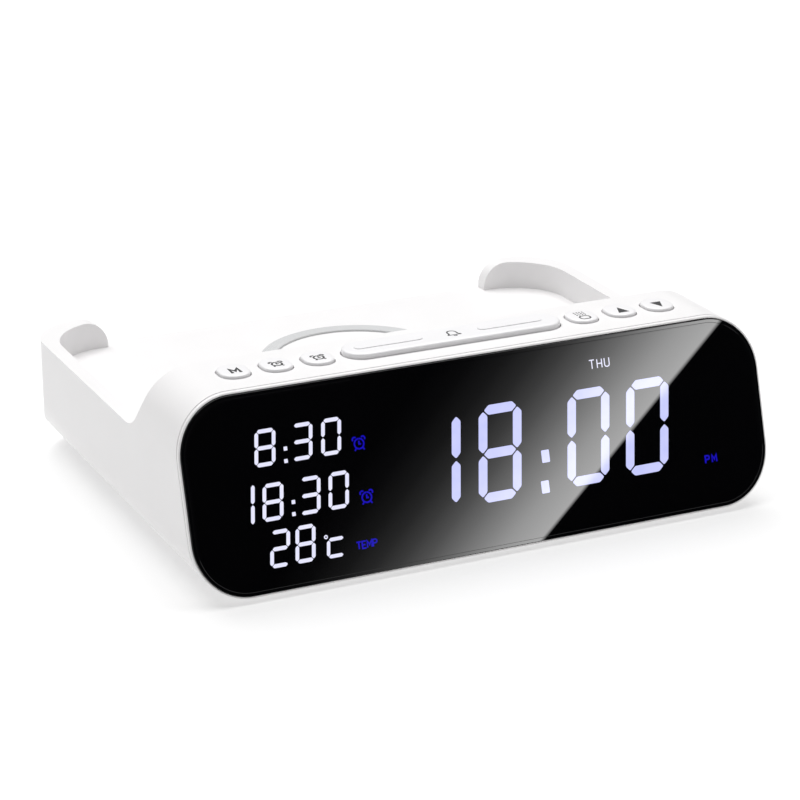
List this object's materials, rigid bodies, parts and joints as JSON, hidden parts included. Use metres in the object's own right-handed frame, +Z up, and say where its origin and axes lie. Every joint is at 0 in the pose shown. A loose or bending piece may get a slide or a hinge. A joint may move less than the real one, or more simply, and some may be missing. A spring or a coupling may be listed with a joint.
{
  "type": "clock radio",
  "caption": "Bedside clock radio: leaning smoked display in a white bar with top keys and snooze bar, and a low phone-charging tray behind it.",
  "frame": {"origin": "middle of the footprint, on the plane the rubber feet stand on", "axes": "+X along the width towards the right of someone facing the display, +Y to the back, +Z up"},
  "size_m": [0.1824, 0.1458, 0.0579],
  "materials": {
    "white_shell": "satin moulded ABS, fine even surface",
    "white_keys": "satin moulded keys with printed dark symbols",
    "smoked_lens": "polished smoked acrylic, reads as black glass",
    "black_foam": "matt closed-cell foam",
    "light_box": "matt white reflector moulding",
    "circuit_board": "green solder mask with black parts",
    "copper_winding": "enamelled copper wire winding",
    "copper_foil": "thin copper foil",
    "ferrite": "matt sintered ferrite",
    "grey_silicone": "matt grip ring",
    "black_plastic": "matt moulded plastic",
    "bright_steel": "plated steel",
    "speaker_cone": "treated paper",
    "rubber_feet": "matt rubber"
  },
  "bodies": {
    "housing": {"main_housing": "white_shell", "base_cover": "white_shell", "front_frame": "white_shell", "display_lens": "smoked_lens", "display_gasket": "black_foam", "led_reflector": "light_box", "led_board": "circuit_board", "button_board": "circuit_board", "main_board": "circuit_board", "charger_board": "circuit_board", "charging_coil": "copper_winding", "ferrite_plate": "ferrite", "charging_pad": "grey_silicone", "cell_holder": "black_plastic", "backup_cell": "bright_steel", "power_inlet": "bright_steel", "usb_port": "bright_steel", "temperature_sensor": "black_plastic", "antenna_strip": "copper_foil", "mode_switch": "black_plastic", "alarm1_switch": "black_plastic", "alarm2_switch": "black_plastic", "light_switch": "black_plastic", "up_switch": "black_plastic", "down_switch": "black_plastic", "snooze_left_switch": "black_plastic", "snooze_right_switch": "black_plastic", "left_speaker_gasket": "black_foam", "left_speaker_basket": "black_plastic", "left_speaker_magnet": "bright_steel", "right_speaker_gasket": "black_foam", "right_speaker_basket": "black_plastic", "right_speaker_magnet": "bright_steel", "foot_1": "rubber_feet", "case_screw_1": "bright_steel", "foot_2": "rubber_feet", "case_screw_2": "bright_steel", "foot_3": "rubber_feet", "case_screw_3": "bright_steel", "foot_4": "rubber_feet", "case_screw_4": "bright_steel"},
    "mode_button": {"mode_button": "white_keys", "mode_plunger": "bright_steel"},
    "alarm1_button": {"alarm1_button": "white_keys", "alarm1_plunger": "bright_steel"},
    "alarm2_button": {"alarm2_button": "white_keys", "alarm2_plunger": "bright_steel"},
    "light_button": {"light_button": "white_keys", "light_plunger": "bright_steel"},
    "up_button": {"up_button": "white_keys", "up_plunger": "bright_steel"},
    "down_button": {"down_button": "white_keys", "down_plunger": "bright_steel"},
    "snooze_bar": {"snooze_bar": "white_keys", "snooze_left_plunger": "bright_steel", "snooze_right_plunger": "bright_steel"},
    "left_speaker_cone": {"left_speaker_cone": "speaker_cone"},
    "right_speaker_cone": {"right_speaker_cone": "speaker_cone"}
  },
  "joints": [
    {"name": "mode_press", "type": "slide", "parent": "housing", "child": "mode_button", "axis": [0, 0, -1], "range_m": [0, 0.0006], "stiffness_N_per_m": 1500},
    {"name": "alarm1_press", "type": "slide", "parent": "housing", "child": "alarm1_button", "axis": [0, 0, -1], "range_m": [0, 0.0006], "stiffness_N_per_m": 1500},
    {"name": "alarm2_press", "type": "slide", "parent": "housing", "child": "alarm2_button", "axis": [0, 0, -1], "range_m": [0, 0.0006], "stiffness_N_per_m": 1500},
    {"name": "light_press", "type": "slide", "parent": "housing", "child": "light_button", "axis": [0, 0, -1], "range_m": [0, 0.0006], "stiffness_N_per_m": 1500},
    {"name": "up_press", "type": "slide", "parent": "housing", "child": "up_button", "axis": [0, 0, -1], "range_m": [0, 0.0006], "stiffness_N_per_m": 1500},
    {"name": "down_press", "type": "slide", "parent": "housing", "child": "down_button", "axis": [0, 0, -1], "range_m": [0, 0.0006], "stiffness_N_per_m": 1500},
    {"name": "snooze_press", "type": "slide", "parent": "housing", "child": "snooze_bar", "axis": [0, 0, -1], "range_m": [0, 0.0006], "stiffness_N_per_m": 3000},
    {"name": "left_cone_travel", "type": "slide", "parent": "housing", "child": "left_speaker_cone", "axis": [0, 1, 0], "range_m": [-0.0005, 0.0005], "stiffness_N_per_m": 1200},
    {"name": "right_cone_travel", "type": "slide", "parent": "housing", "child": "right_speaker_cone", "axis": [0, 1, 0], "range_m": [-0.0005, 0.0005], "stiffness_N_per_m": 1200}
  ]
}
